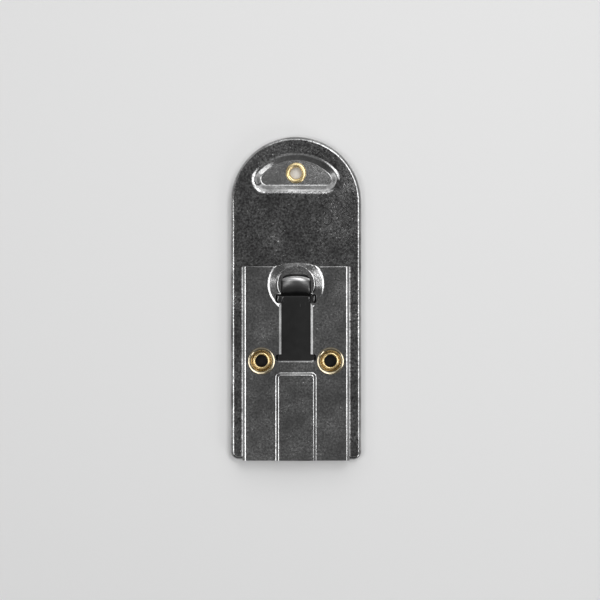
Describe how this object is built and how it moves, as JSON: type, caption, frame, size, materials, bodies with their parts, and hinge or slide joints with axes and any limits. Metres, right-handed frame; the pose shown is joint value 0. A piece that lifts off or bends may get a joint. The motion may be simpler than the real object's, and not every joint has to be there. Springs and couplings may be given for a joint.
{
  "type": "razor blade scraper",
  "caption": "Retractable razor blade scraper of pressed sheet steel, with a round-ended body, slotted cover plate, sprung thumb latch, brass eyelets and a single-edge blade on a carrier.",
  "frame": {"origin": "bottom centre of the bounding box with the blade drawn in: the middle of the flat back", "axes": "+X to the right seen from the front, +Y along the body towards the hang hole, so that the blade leaves at -Y, and +Z out of the front face"},
  "size_m": [0.049, 0.121, 0.0093],
  "materials": {
    "plated_steel": "plated, lightly grained",
    "spring_steel": "dark polished spring steel",
    "eyelet_brass": "bright brass",
    "blade_steel": "ground steel",
    "spine_steel": "satin steel"
  },
  "bodies": {
    "body": {"body_shell": "plated_steel", "back_plate": "plated_steel", "cover_plate": "plated_steel", "hang_eyelet": "eyelet_brass", "left_eyelet": "eyelet_brass", "right_eyelet": "eyelet_brass"},
    "carriage": {"blade_carrier": "plated_steel", "latch_rivets": "spine_steel", "razor_blade": "blade_steel", "blade_spine": "spine_steel"},
    "latch": {"thumb_latch": "spring_steel"}
  },
  "joints": [
    {"name": "blade_slide", "type": "slide", "parent": "body", "child": "carriage", "axis": [0, -1, 0], "range_m": [0, 0.022]},
    {"name": "thumb_press", "type": "hinge", "parent": "carriage", "child": "latch", "pos_m": [0, -0.0308, 0.00445], "axis": [1, 0, 0], "range_deg": [0, 1.4], "stiffness_Nm_per_rad": 4, "springref_deg": 2.86}
  ]
}
